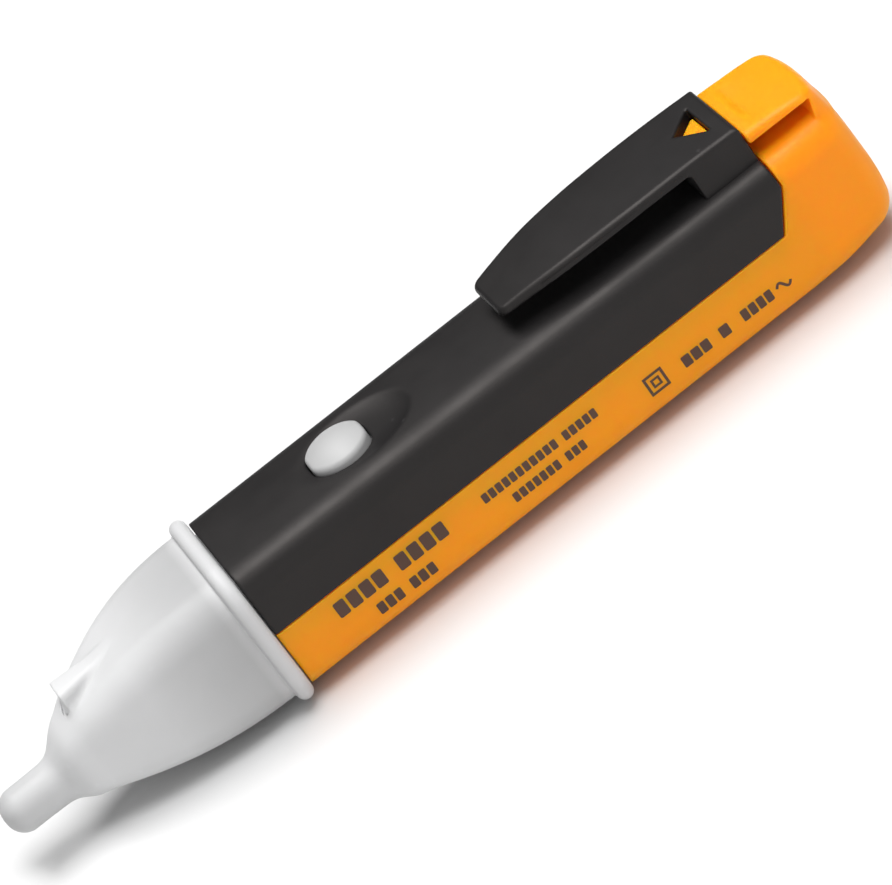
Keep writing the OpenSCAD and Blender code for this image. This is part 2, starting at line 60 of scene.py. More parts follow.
# ---------------------------------------------------------------- distance fields
# Every shell is a field f(x, y, z) in millimetres, negative inside the plastic.
def meet(a, b, r=0.0):
    """Both solids, with the edge between them rounded to r."""
    if r <= 0:
        return np.maximum(a, b)
    u, v = np.maximum(a + r, 0), np.maximum(b + r, 0)
    return np.minimum(np.maximum(a, b), -r) + np.sqrt(u * u + v * v)


def join(a, b, r=0.0):
    """Either solid, with a fillet of r in the corner between them."""
    if r <= 0:
        return np.minimum(a, b)
    u, v = np.maximum(r - a, 0), np.maximum(r - b, 0)
    return np.maximum(np.minimum(a, b), r) - np.sqrt(u * u + v * v)


def cut(a, b, r=0.0):
    return meet(a, -b, r)


def slab(v, low, high, r=0.0):
    return meet(low - v, v - high, r)


def rounded(y, z, half, low, high, r_low, r_high):
    """Rounded box across the pen."""
    middle = (low + high) / 2
    r = np.where(z > middle, r_high, r_low)
    u = np.abs(y) - half + r
    v = np.maximum(z - high, low - z) + r
    outside = np.sqrt(np.maximum(u, 0) ** 2 + np.maximum(v, 0) ** 2)
    return np.minimum(np.maximum(u, v), 0) + outside - r


def through(x, points):
    """A smooth curve through the points (x, value)."""
    px = np.array([p[0] for p in points], float)
    py = np.array([p[1] for p in points], float)
    slope = np.gradient(py, px)
    i = np.clip(np.searchsorted(px, x) - 1, 0, len(px) - 2)
    h = px[i + 1] - px[i]
    t = np.clip((x - px[i]) / h, 0, 1)
    a = (1 + 2 * t) * (1 - t) ** 2 * py[i] + t * (1 - t) ** 2 * h * slope[i]
    return a + t * t * (3 - 2 * t) * py[i + 1] + t * t * (t - 1) * h * slope[i + 1]


def ticks(start, *parts):
    """Grid lines from start: each pair is a step and where it stops."""
    out = [start]
    for step, stop in zip(parts[::2], parts[1::2]):
        n = max(1, int(round((stop - out[-1]) / step)))
        out.extend(np.linspace(out[-1], stop, n + 1)[1:])
    return np.array(out)


EDGES = [(a, a | bit) for bit in (1, 2, 4) for a in range(8) if not a & bit]


def skin(name, field, xs, ys, zs):
    """A closed mesh of quads on the zero surface of field, as a Blender object."""
    d = field(xs[:, None, None], ys[None, :, None], zs[None, None, :])
    d = np.broadcast_to(d, (len(xs), len(ys), len(zs)))
    solid = d < 0
    corners = [np.s_[(a & 1):len(xs) - 1 + (a & 1), (a >> 1 & 1):len(ys) - 1 + (a >> 1 & 1),
                     (a >> 2):len(zs) - 1 + (a >> 2)] for a in range(8)]
    count = sum(solid[c].astype(np.int8) for c in corners)
    i, j, k = np.nonzero((count > 0) & (count < 8))
    index = np.full(count.shape, -1)
    index[i, j, k] = np.arange(len(i))
    values = [d[i + (a & 1), j + (a >> 1 & 1), k + (a >> 2)] for a in range(8)]
    places = [np.stack([xs[i + (a & 1)], ys[j + (a >> 1 & 1)], zs[k + (a >> 2)]], 1)
              for a in range(8)]
    total, hits = np.zeros((len(i), 3)), np.zeros(len(i))
    for a, b in EDGES:
        crossed = (values[a] < 0) != (values[b] < 0)
        t = np.where(crossed, values[a] / np.where(crossed, values[a] - values[b], 1), 0)
        total += np.where(crossed[:, None], places[a] + (places[b] - places[a]) * t[:, None], 0)
        hits += crossed
    points = total / hits[:, None]
    room = np.stack([xs[i + 1] - xs[i], ys[j + 1] - ys[j], zs[k + 1] - zs[k]], 1) * 0.6
    start = points.copy()
    for _ in range(4):
        x, y, z = points.T
        value = field(x, y, z)
        e = 0.01
        slope = np.stack([field(x + e, y, z) - field(x - e, y, z),
                          field(x, y + e, z) - field(x, y - e, z),
                          field(x, y, z + e) - field(x, y, z - e)], 1) / (2 * e)
        size = np.maximum((slope ** 2).sum(1), 0.05)
        points = points - slope * (value / size)[:, None]
        points = np.clip(points, start - room, start + room)
    quads = []
    for axis in range(3):
        step = np.eye(3, dtype=int)[axis]
        low = solid[:len(xs) - step[0], :len(ys) - step[1], :len(zs) - step[2]]
        high = solid[step[0]:, step[1]:, step[2]:]
        p = np.stack(np.nonzero(low != high), 1)
        up = low[p[:, 0], p[:, 1], p[:, 2]]
        b, c = np.eye(3, dtype=int)[(axis + 1) % 3], np.eye(3, dtype=int)[(axis + 2) % 3]
        ring = [index[tuple((p - q).T)] for q in (b + c, c, 0 * b, b)]
        ring = np.stack(ring, 1)
        quads.append(np.where(up[:, None], ring, ring[:, ::-1]))
    return mesh_object(name, points * MM, np.concatenate(quads))


def mesh_object(name, points, faces):
    mesh = bpy.data.meshes.new(name)
    faces = np.asarray(faces)
    mesh.vertices.add(len(points))
    mesh.vertices.foreach_set("co", np.asarray(points, np.float32).ravel())
    mesh.loops.add(faces.size)
    mesh.loops.foreach_set("vertex_index", faces.ravel().astype(np.int32))
    mesh.polygons.add(len(faces))
    starts = np.arange(0, faces.size, faces.shape[1], dtype=np.int32)
    mesh.polygons.foreach_set("loop_start", starts)
    mesh.update(calc_edges=True)
    mesh.validate()
    mesh.polygons.foreach_set("use_smooth", np.ones(len(mesh.polygons), bool))
    obj = bpy.data.objects.new(name, mesh)
    bpy.context.scene.collection.objects.link(obj)
    return obj


# ---------------------------------------------------------------- places, in millimetres
(TIP, _, _), _ = mm_box("nose_shell")
(FRONT, _, _), (ROOF_END, _, _) = mm_box("upper_shell")
_, (TAIL, _, _) = mm_box("battery_cover")
(CLIP_TIP, _, _), _ = mm_box("pocket_clip")
BEAD_BACK = FRONT - 0.25
# belly, top face and half width of the case, and its corner radii
LOW, HIGH, HALF = 1.6, 24.4, 12.2
R_LOW, R_HIGH = 5.0, 4.75
# height where black meets orange, and the top of the slant at the black shell's end
PART = 13.4
CORNER_X, CORNER_Z = ROOF_END - 3.6, HIGH - 4.5
# front of the clip's root block, and how low it reaches into the roof
BLOCK = ROOF_END - 9.2
BLOCK_LOW = 23.6
BUTTON_X = sum(c[0] for c in mm_box("power_button")) / 2
BUTTON_R, BUTTON_FLAT = 5.05, 4.75
BOARD_TOP = mm_box("circuit_board")[1][2]
DECK_TOP = 15.4
# x and y of each screw, and where its post starts
SCREWS = [(x, y, BOARD_TOP + 0.05) for x in (-23.5, 5.9) for y in (6.8, -6.8)]
SCREWS.append((ROOF_END - 18.4, 0, DECK_TOP + 0.05))
SCREW_TOP = mm_box("case_screws")[1][2]
POST_R, PILOT_R = 2.3, 1.14


def case_section(y, z, d=0.0):
    return rounded(y, z, HALF - d, LOW + d, HIGH - d, R_LOW - d, R_HIGH - d)


def crown(y, z):
    """The top face falls away slightly to both sides."""
    return z - HIGH + 0.005 * y ** 2


def behind_corner(x, z):
    """Positive behind the slanted end of the black shell."""
    dx, dz = ROOF_END - CORNER_X, CORNER_Z - PART
    n = math.hypot(dx, dz)
    slant = (x - CORNER_X) * dz / n - (z - PART) * dx / n
    return np.maximum(slant, x - ROOF_END)


# ---------------------------------------------------------------- black upper shell
# middle, half length, half width and depth of the scoop round the button
SCOOP_X, SCOOP_L, SCOOP_W, SCOOP_D = -5.5, 10.5, 8.25, 1.0


def button_hole(x, y, extra):
    return meet(np.hypot(x - BUTTON_X, y) - BUTTON_R - extra,
                np.abs(x - BUTTON_X) - BUTTON_FLAT - extra, 0.3)


def upper_field(x, y, z):
    d = meet(case_section(y, z), crown(y, z), 0.6)
    d = meet(d, FRONT - x, 0.25)
    d = meet(d, behind_corner(x, z), 0.2)
    inner = case_section(y, z, 1.7)
    pad = meet(np.hypot((x - SCOOP_X) / SCOOP_L, y / SCOOP_W) * 9 - 9.4,
               slab(z, 21.65, HIGH - 1), 0.2)
    inner = cut(inner, pad, 0.4)
    d = cut(d, inner, 0.1)
    along = (x - SCOOP_X) / SCOOP_L
    ratio = np.hypot(along, y / SCOOP_W)
    bowl = HIGH + 0.02 - SCOOP_D * (1 - ratio ** 3.2) * (1 + 0.35 * along)
    d = meet(d, (z - bowl) * 0.85, 0.15)
    for sx, sy, floor in SCREWS:
        centre = np.hypot(x - sx, y - sy)
        d = join(d, meet(centre - POST_R, slab(z, floor, HIGH - 1), 0.1), 0.3)
        d = cut(d, meet(centre - PILOT_R, slab(z, floor - 1, SCREW_TOP + 0.5)), 0.05)
    d = cut(d, meet(button_hole(x, y, 0.22), slab(z, 18, 40)), 0.2)
    return meet(d, PART + 0.06 - z, 0.12)


upper = skin("upper_case", upper_field,
             ticks(-32, 0.25, -30, 1.2, -26.5, 0.35, -20.5, 1.2, -16, 0.25, 3, 0.35, 9, 2, 41,
                   0.35, 48, 2, 58, 0.25, 63.6),
             ticks(-12.8, 0.3, 12.8), ticks(12.9, 0.12, 14.1, 0.3, 19.5, 0.3, 25))

# ---------------------------------------------------------------- pocket clip and roof
CLIP_HALF = [(CLIP_TIP, 5.5), (CLIP_TIP + 4, 6.4), (CLIP_TIP + 10, 7.65), (CLIP_TIP + 17, 8.35),
             (CLIP_TIP + 26, 8.7), (CLIP_TIP + 33, 8.7), (ROOF_END, 8.6)]
CLIP_HIGH = [(CLIP_TIP, 28.55), (CLIP_TIP + 4, 29.15), (CLIP_TIP + 10, 29.8), (CLIP_TIP + 17, 30.2),
             (CLIP_TIP + 26, 30.36), (CLIP_TIP + 33, 30.36), (ROOF_END, 30.1)]
CLIP_UNDER = [(CLIP_TIP, 27.3), (CLIP_TIP + 9.7, 28.1), (CLIP_TIP + 16.7, 28.4),
              (CLIP_TIP + 25, 28.6), (BLOCK + 1, 28.55)]


def window(x, y, apex, base, half):
    """Triangle in plan with its apex to the nose."""
    n = math.hypot(base - apex, half)
    side = (np.abs(y) * (base - apex) - (x - apex) * half) / n
    return meet(side, x - base, 0.45)


def clip_field(x, y, z):
    half, high = through(x, CLIP_HALF), through(x, CLIP_HIGH)
    lean = np.clip((z - 24.4) / 6, 0, 1) * 0.25
    plan = meet(np.abs(y) - half - 0.2 + lean, CLIP_TIP - x, 1.3)
    plan = meet(plan, x - ROOF_END, 0.25)
    crown = 0.12 * (y / 8) ** 2
    d = meet(plan, z - high + crown, 0.75)
    under = through(x, CLIP_UNDER)
    gap = meet(x - BLOCK, z - under, 0.7)
    d = cut(d, gap, 0.25)
    groove = np.hypot(np.abs(y) - half - 0.12, (z - under - 0.62) * 0.8) - 0.34
    groove = meet(groove, slab(x, CLIP_TIP + 7, BLOCK - 0.5, 0.3), 0.3)
    d = cut(d, groove, 0.12)
    cavity = meet(slab(x, BLOCK + 1.4, 80), meet(np.abs(y) - 6.2, slab(z, 20, 28.2), 0.4), 0.3)
    d = cut(d, cavity, 0.15)
    hole = meet(window(x, y, BLOCK + 2.1, ROOF_END - 2.7, 4.6), slab(z, 27, 40))
    d = cut(d, hole, 0.3)
    return meet(d, BLOCK_LOW - z, 0.05)


clip = skin("clip_blade", clip_field,
            ticks(CLIP_TIP - 0.6, 0.25, CLIP_TIP + 3, 0.7, CLIP_TIP + 28, 0.25, ROOF_END + 0.5),
            ticks(-9.4, 0.24, 9.4), ticks(23.2, 0.3, 26.8, 0.2, 30.8))

# ---------------------------------------------------------------- orange cover and tongue
COVER_HALF = [(30, 12.2), (56, 12.2), (60, 12.2), (64, 12.12), (67, 11.95), (71, 11.4),
              (75, 10.75), (80, 10)]
COVER_LOW = [(30, 1.6), (56, 1.6), (60, 1.6), (65, 1.75), (69, 2.1),
             (73, 2.6), (77, 3.3), (80, 3.9)]
TONGUE_HIGH = [(60, 28.95), (ROOF_END, 28.9), (67, 28.7), (71, 28.45), (74, 28.1), (80, 27.2)]


def tail_end(y, z):
    """Where the bulging end face of the tail lies."""
    high, low = np.maximum(z - 17, 0), np.maximum(13 - z, 0)
    lean = 0.05 * np.maximum(z - 10, 0)
    return TAIL - 0.1 - lean - 0.010 * high ** 2 - 0.011 * low ** 2 - 0.013 * y ** 2


def cover_field(x, y, z):
    d = rounded(y, z, through(x, COVER_HALF), through(x, COVER_LOW), HIGH, R_LOW, R_HIGH)
    end = x - tail_end(y, z)
    body = meet(meet(d, crown(y, z), 0.6), end, 2.6)
    front = np.minimum(z - PART + 0.06, 0.24 - behind_corner(x, z))
    body = meet(body, front, 0.12)
    body = meet(body, FRONT - x, 0.2)
    # hollow for the cradle
    inner = meet(case_section(y, z, 1.5), x - ROOF_END - 0.3)
    room = meet(slab(x, ROOF_END - 1, TAIL - 3.4, 1), np.abs(y) - 8.8, 2)
    room = meet(case_section(y, z, 2), room, 0.5)
    room = meet(room, slab(z, 2.6 + 0.2 * (x - ROOF_END), 22.2 - 0.12 * (x - ROOF_END)), 0.5)
    body = cut(body, inner, 0.1)
    body = cut(body, room, 0.1)
    lip = meet(cut(rounded(y, z, HALF - 1.85, LOW + 1.85, HIGH - 1.85, 3.1, 2.9),
                   rounded(y, z, HALF - 2.85, LOW + 2.85, HIGH - 2.85, 2.1, 1.9)),
               meet(slab(x, ROOF_END - 1.7, ROOF_END + 1.5), 17.5 - z), 0.1)
    body = join(body, lip, 0.0)
    rail = meet(np.abs(np.abs(y) - 10.7) - 0.7, slab(z, 11.05, 12.35), 0.1)
    body = cut(body, meet(rail, x - ROOF_END + 3.6), 0.1)
    # hump and press tongue, with the slot between them and the case
    high = through(x, TONGUE_HIGH) - 0.3 * (y / 8) ** 2
    front_step = np.clip((x - 64.6) / 1.7, 0, 1)
    dip = front_step ** 2 * (3 - 2 * front_step) * np.clip((71.5 - x) / 5.7, 0, 1) ** 1.5
    high = high - 0.65 * dip * np.exp(-(y / 5.6) ** 4)
    hump = meet(meet(np.abs(y) - 9.25 + np.clip(z - 24.4, 0, 5) * 0.05, end, 2.0), z - high, 1.0)
    hump = meet(hump, ROOF_END + 0.2 - x, 0.25)
    hump = meet(hump, 22.0 - z)
    slot_end = TAIL - 4.3 + 0.3 * (z - 25)
    slot = meet(slab(z, HIGH - 1.5, 26.85, 0.3), slab(x, 50, slot_end), 0.6)
    hump = cut(hump, slot, 0.25)
    behind_slot = np.clip((x - slot_end) / 0.8, 0, 1)
    d = np.minimum(body, hump) * (1 - behind_slot) + join(body, hump, 0.6) * behind_slot
    return join(d, latch_hook(x, y, z), 0.1)


def latch_hook(x, y, z):
    """The tongue's shelf under the black roof, with the hook that stands in its window."""
    shelf = meet(np.abs(y) - 3.2, slab(z, 26.45, 27.9), 0.3)
    shelf = meet(slab(x, BLOCK + 3.2, ROOF_END + 1.6), shelf, 0.3)
    hook = meet(window(x, y, BLOCK + 2.9, ROOF_END - 2.9, 3.1), slab(z, 27.2, 29.2, 0.2), 0.15)
    return join(shelf, hook, 0.2)


cover = skin("battery_cover_skin", cover_field,
             ticks(-32, 0.25, -30.4, 2.5, 52, 0.6, 57, 0.28, 78.1),
             ticks(-12.6, 0.3, -7, 0.35, 7, 0.3, 12.6),
             ticks(1.1, 0.35, 10.8, 0.25, 12.9, 0.12, 13.8, 0.35, 23.5, 0.25, 29.3))

# ---------------------------------------------------------------- nose
CONE_END, CONE_START = TIP + 10.1, BEAD_BACK - 2.65


def nose_field(x, y, z):
    u = (CONE_START - x) / (CONE_START - CONE_END)
    u = 1 - 0.5 * (1 - u + np.sqrt((1 - u) ** 2 + 0.0009))
    u = np.maximum(u, 0)
    half = HALF - 8.9 * u ** 2.1
    low, high = LOW + 4.65 * u ** 2.2, HIGH - 11.55 * u ** 2.5
    r = R_LOW - 2.2 * u ** 3
    d = rounded(y, z, half, low, high, r, r) * 0.93
    swell = 0.42 * np.exp(-((x - CONE_END - 2.8) / 1.9) ** 2)
    shoulder = 0.35 * np.exp(-((x - CONE_END - 6.5) / 3.5) ** 2) * np.clip((z - 12) / 6, 0, 1)
    d = meet(d - swell - shoulder, TIP - x, 3.0)
    # beak: a ridge with a steep front and hollow flanks
    ridge_half = 2.9 - 0.3 * np.sin(np.clip((21.8 - z) / 4, 0, 1) * math.pi)
    ridge_half = ridge_half - 0.12 * np.maximum(x - CONE_END - 6.9, 0)
    ridge = meet(np.abs(y) - ridge_half, z - 21.95 + 0.035 * y * y, 1.2)
    ridge = meet(ridge, CONE_END + 6.9 - x, 0.3)
    ridge = meet(ridge, meet(x - CONE_END - 17, 14 - z))
    moon = cut(np.hypot(x - CONE_END - 7.3, y * 0.62) - 1.45,
               np.hypot(x - CONE_END - 7.5, y * 0.5) - 1.25)
    moon = meet(moon, x - CONE_END - 6.9)
    d = join(d, ridge, 0.9)
    d = cut(d, meet(moon, meet(-d - 0.6, 14 - z)), 0.1)
    # bead
    ring = rounded(y, z, HALF, LOW, HIGH, R_LOW, R_HIGH)
    bead = np.hypot(ring - 0.25, x - (BEAD_BACK - 1.3)) - 1.32
    d = join(meet(d, x - BEAD_BACK + 0.05), bead, 0.25)
    wall = 1.5 + 0.65 * np.clip((x - BEAD_BACK + 4) / 1.5, 0, 1)
    inner = rounded(y, z, half - wall, low + wall, high - wall, r - 0.9, r - 0.9) * 0.93
    inner = meet(inner, TIP + 2.2 - x, 1.0)
    spigot = cut(meet(case_section(y, z, 1.85), slab(x, BEAD_BACK - 2, FRONT + 4)),
                 case_section(y, z, 3.15))
    d = cut(d, inner, 0.2)
    return join(d, spigot, 0.2)


nose = skin("nose_cone", nose_field,
            ticks(TIP - 0.4, 0.3, TIP + 4, 0.35, -63, 0.2, -54, 0.5, -36, 0.2, -30.8, 0.8, -26.6),
            ticks(-14.2, 0.3, -4, 0.22, 4, 0.3, 14.2),
            ticks(-0.5, 0.34, 14.5, 0.24, 22.4, 0.35, 26.4))

# ---------------------------------------------------------------- button
(_, _, BUTTON_LOW), _ = mm_box("power_button")


def button_field(x, y, z):
    flat = button_hole(x, y, 0.0)
    dome = np.sqrt((x - BUTTON_X) ** 2 + y ** 2 + (z - 26.3 + 9) ** 2) - 9
    d = meet(flat, dome, 0.45)
    d = meet(d, BUTTON_LOW + 0.45 - z)
    flange = meet(button_hole(x, y, 1.1), slab(z, 20.2, 21.3), 0.1)
    stem = meet(np.hypot(x - BUTTON_X, y) - 1.5, slab(z, BUTTON_LOW, 21.5), 0.1)
    return join(join(d, flange, 0.1), stem, 0.2)


button = skin("push_button", button_field,
              ticks(BUTTON_X - 6.5, 0.22, BUTTON_X + 6.5), ticks(-6.9, 0.22, 6.9),
              ticks(BUTTON_LOW - 0.5, 0.3, 23.5, 0.18, 26.6))

# ---------------------------------------------------------------- marks on the orange side
# Rows of plain blocks, a double square and a wave, where the real one is printed.
INK_PROUD, INK_SUNK = 0.02, 0.05


def prism(points):
    """Thin printed patch on the near side: points are x, z in millimetres, counter-clockwise."""
    n = len(points)
    front = [(px, -HALF - INK_PROUD, pz) for px, pz in points]
    back = [(px, -HALF + INK_SUNK, pz) for px, pz in points]
    quads = [[k, n + k, n + (k + 1) % n, (k + 1) % n] for k in range(n)]
    return front + back, quads, [list(range(n)), [2 * n - 1 - k for k in range(n)]]


def ribbon(path, width):
    """Outline of a stroke of that width along the path."""
    p = np.array(path, float)
    t = np.gradient(p, axis=0)
    t /= np.linalg.norm(t, axis=1)[:, None]
    side = np.stack([-t[:, 1], t[:, 0]], 1) * width / 2
    return [tuple(q) for q in p - side] + [tuple(q) for q in (p + side)[::-1]]


def patches(name, outlines):
    mesh = bpy.data.meshes.new(name)
    verts, faces = [], []
    for outline in outlines:
        v, quads, caps = prism(outline)
        base = len(verts)
        verts += v
        faces += [[base + a for a in f] for f in quads + caps]
    mesh.from_pydata([(a * MM, b * MM, c * MM) for a, b, c in verts], [], faces)
    mesh.validate()
    obj = bpy.data.objects.new(name, mesh)
    bpy.context.scene.collection.objects.link(obj)
    return obj


def bar(x0, x1, z0, z1, r):
    """Outline of a block with corners of radius r."""
    out = []
    for cx, cz, a in ((x1 - r, z0 + r, -90), (x1 - r, z1 - r, 0), (x0 + r, z1 - r, 90),
                      (x0 + r, z0 + r, 180)):
        out += [(cx + r * math.cos(math.radians(a + b)), cz + r * math.sin(math.radians(a + b)))
                for b in (0, 30, 60, 90)]
    return out


def square_ring(x, z, size, width):
    h = size / 2
    sides = [(x - h, x + h, z - h, z - h + width), (x - h, x + h, z + h - width, z + h),
             (x - h, x - h + width, z - h + width + 0.02, z + h - width - 0.02),
             (x + h - width, x + h, z - h + width + 0.02, z + h - width - 0.02)]
    return [[(a, c), (b, c), (b, e), (a, e)] for a, b, c, e in sides]


def wave(x, z, length, height, width):
    path = [(x + length * (k / 24 - 0.5), z + height * math.sin(2 * math.pi * k / 24))
            for k in range(25)]
    return ribbon(path, width)


def blocks(x0, x1, z0, z1, words, width):
    """A line of small plain blocks, in place of a line of print."""
    letters = sum(words) + 0.8 * (len(words) - 1)
    pitch = (x1 - x0 + width * 0.25) / letters
    out, x = [], x0
    for word in words:
        for _ in range(word):
            out.append(bar(x, x + pitch - width * 0.25, z0, z1, width * 0.16))
            x += pitch
        x += pitch * 0.8
    return out


marks = square_ring(32.9, 7.7, 3.3, 0.42) + square_ring(32.9, 7.7, 1.5, 0.36)
marks += blocks(37.5, 42.3, 6.4, 8.3, [3], 1.2) + blocks(44.2, 45.8, 6.4, 8.3, [1], 1.2)
marks += blocks(48.1, 53.5, 6.4, 8.3, [4], 1.2) + [wave(55.6, 7.4, 2.4, 0.6, 0.42)]
marks += blocks(3.3, 23.5, 9.2, 10.8, [11, 5], 1.1) + blocks(7.0, 19.7, 6.2, 7.8, [7, 3], 1.1)
marks += blocks(-22.5, -3.2, 9.0, 11.7, [4, 4], 1.8) + blocks(-17.6, -7.5, 5.4, 7.3, [3, 3], 1.3)
prints = patches("side_print", marks)


# ---------------------------------------------------------------- materials
def principled(name):
    m = bpy.data.materials.new(name)
    m.use_nodes = True
    tree = m.node_tree
    return m, tree.nodes["Principled BSDF"], tree


def noise(tree, scale, detail=4.0, rough=0.55, stretch=None):
    n = tree.nodes.new("ShaderNodeTexNoise")
    n.inputs["Scale"].default_value = scale
    n.inputs["Detail"].default_value = detail
    n.inputs["Roughness"].default_value = rough
    source = tree.nodes.new("ShaderNodeTexCoord").outputs["Object"]
    if stretch:
        mapping = tree.nodes.new("ShaderNodeMapping")
        mapping.inputs["Scale"].default_value = stretch
        tree.links.new(source, mapping.inputs["Vector"])
        source = mapping.outputs["Vector"]
    tree.links.new(source, n.inputs["Vector"])
    return n.outputs["Fac"]


def ramp(tree, value, stops):
    r = tree.nodes.new("ShaderNodeValToRGB")
    while len(r.color_ramp.elements) < len(stops):
        r.color_ramp.elements.new(0.5)
    for e, (place, colour) in zip(r.color_ramp.elements, stops):
        e.position = place
        e.color = (*colour, 1) if len(colour) == 3 else colour
    tree.links.new(value, r.inputs["Fac"])
    return r.outputs["Color"]


def grey(v):
    return (v, v, v)


def mixed(tree, factor, a, b):
    mix = tree.nodes.new("ShaderNodeMix")
    mix.data_type = "RGBA"
    tree.links.new(factor, mix.inputs["Factor"])
    for socket, value in ((6, a), (7, b)):
        if isinstance(value, tuple):
            mix.inputs[socket].default_value = (*value, 1)
        else:
            tree.links.new(value, mix.inputs[socket])
    return mix.outputs[2]


def multiplied(tree, a, b):
    """Product of two colour outputs."""
    product = tree.nodes.new("ShaderNodeMix")
    product.data_type, product.blend_type = "RGBA", "MULTIPLY"
    product.inputs["Factor"].default_value = 1
    tree.links.new(a, product.inputs[6])
    tree.links.new(b, product.inputs[7])
    return product.outputs[2]


def along_x(tree, x0, x1):
    """How far along the pen a point lies, 0 at x0 and 1 at x1, in metres."""
    xyz = tree.nodes.new("ShaderNodeSeparateXYZ")
    tree.links.new(tree.nodes.new("ShaderNodeTexCoord").outputs["Object"], xyz.inputs[0])
    place = tree.nodes.new("ShaderNodeMapRange")
    place.inputs["From Min"].default_value = x0
    place.inputs["From Max"].default_value = x1
    tree.links.new(xyz.outputs["X"], place.inputs["Value"])
    return place.outputs[0]


def scaled(colour, k):
    return tuple(min(1.0, c * k) for c in colour)


def bumped(tree, b, height, strength, distance):
    bumps = tree.nodes.new("ShaderNodeBump")
    bumps.inputs["Strength"].default_value = strength
    bumps.inputs["Distance"].default_value = distance
    tree.links.new(height, bumps.inputs["Height"])
    tree.links.new(bumps.outputs["Normal"], b.inputs["Normal"])


def plastic(name, colour, rough, spread=0.06, grain=2600, bump=0.12, wear=0.25, worn=None,
            coat=0.0, under=0.0, radius=(1, 1, 1), shine=0.5, shine_tint=(1, 1, 1)):
    """Moulded plastic: slow colour drift, fine texture, slightly worn edges."""
    m, b, tree = principled(name)
    drift = ramp(tree, noise(tree, 55, 3),
                 [(0.3, scaled(colour, 1 - spread)), (0.7, scaled(colour, 1 + spread))])
    edge = tree.nodes.new("ShaderNodeNewGeometry").outputs["Pointiness"]
    mask = ramp(tree, edge, [(0.53, grey(0)), (0.62, grey(wear))])
    broken = tree.nodes.new("ShaderNodeMath")
    broken.operation = "MULTIPLY"
    tree.links.new(mask, broken.inputs[0])
    tree.links.new(noise(tree, 420, 4), broken.inputs[1])
    tree.links.new(mixed(tree, broken.outputs[0], drift, worn or scaled(colour, 1.5)),
                   b.inputs["Base Color"])
    rubbed = ramp(tree, noise(tree, 130, 5, 0.6),
                  [(0.3, grey(rough - 0.05)), (0.7, grey(rough + 0.06))])
    tree.links.new(rubbed, b.inputs["Roughness"])
    bumped(tree, b, noise(tree, grain, 3, 0.6), bump, 0.00004)
    b.inputs["Specular IOR Level"].default_value = shine
    b.inputs["Specular Tint"].default_value = (*shine_tint, 1)
    if coat:
        b.inputs["Coat Weight"].default_value = coat
        b.inputs["Coat Roughness"].default_value = 0.25
    if under:
        b.inputs["Subsurface Weight"].default_value = under
        b.inputs["Subsurface Radius"].default_value = radius
        b.inputs["Subsurface Scale"].default_value = 0.003
    return m


def painted_nose_light(material, tint):
    """Painted light and shade along the nose: paler and darker zones in its colour stand in for more
    or less light passing through its walls.
    """
    tree = material.node_tree
    stops = [(0.0, grey(0.66)), (0.22, grey(0.72)), (0.34, grey(0.88)), (0.58, grey(0.8)),
             (0.78, grey(0.62)), (0.9, grey(0.55)), (0.95, grey(0.75))]
    # painted light: the nose's colour is made paler or darker by place along its length
    painted_light = ramp(tree, along_x(tree, TIP * MM, BEAD_BACK * MM), stops)
    base = tree.nodes["Principled BSDF"].inputs["Base Color"]
    painted_zones = multiplied(tree, base.links[0].from_socket, painted_light)
    tree.links.new(multiplied(tree, painted_zones, tint), base)


def metal(name, colour, rough, grain=900, stretch=(1, 1, 1)):
    m, b, tree = principled(name)
    b.inputs["Metallic"].default_value = 1.0
    drift = ramp(tree, noise(tree, 160, 4),
                 [(0.3, scaled(colour, 0.85)), (0.7, scaled(colour, 1.08))])
    tree.links.new(drift, b.inputs["Base Color"])
    streaks = noise(tree, grain, 4, 0.6, stretch=stretch)
    tree.links.new(ramp(tree, streaks, [(0.3, grey(rough - 0.08)), (0.7, grey(rough + 0.1))]),
                   b.inputs["Roughness"])
    bumped(tree, b, streaks, 0.15, 0.00003)
    return m


BLACK = plastic("black_plastic", (0.0108, 0.0102, 0.0106), 0.47, 0.1, 3000, 0.3, 0.6,
                (0.05, 0.048, 0.05), shine=0.29, shine_tint=(1.0, 0.93, 0.89))
ORANGE = plastic("orange_plastic", (0.95, 0.3, 0.004), 0.45, 0.03, 2200, 0.15, 0.3,
                 (1.0, 0.4, 0.03), under=0.9, radius=(1.0, 0.3, 0.05), shine=0.2)
NOSE = plastic("nose_plastic", (0.72, 0.72, 0.725), 0.46, 0.03, 1800, 0.08, 0.3, (0.85, 0.86, 0.87),
               under=0.12, radius=(1.0, 1.0, 1.0), shine=0.25)
shade = NOSE.node_tree
tint = mixed(shade, ramp(shade, noise(shade, 40, 2), [(0.3, grey(0)), (0.7, grey(0.1))]),
             (1.0, 1.0, 1.0), (0.96, 0.98, 0.97))
# painted light and shade along the nose, multiplied onto its colour
painted_nose_light(NOSE, tint)
BUTTON = plastic("button_plastic", (0.41, 0.41, 0.41), 0.45, 0.02, 2000, 0.08, 0.3,
                 (0.75, 0.75, 0.75), shine=0.3)
FRAME = plastic("frame_plastic", (0.035, 0.035, 0.038), 0.5, 0.12, 2600, 0.3, 0.5,
                (0.09, 0.09, 0.09))
CHIP = plastic("chip_black", (0.02, 0.02, 0.022), 0.55, 0.15, 5000, 0.35, 0.4, (0.08, 0.08, 0.08))
PLUNGER = plastic("plunger_plastic", (0.7, 0.68, 0.62), 0.4, 0.05, 2600, 0.1)
CERAMIC_CHIP = plastic("chip_ceramic", (0.4, 0.24, 0.12), 0.5, 0.1, 4000, 0.2)
BOARD = plastic("board_green", (0.015, 0.12, 0.05), 0.3, 0.15, 1500, 0.1, 0.5,
                (0.3, 0.35, 0.15), coat=0.4)
PIEZO = plastic("piezo_ceramic", (0.75, 0.73, 0.68), 0.45, 0.06, 3000, 0.2)
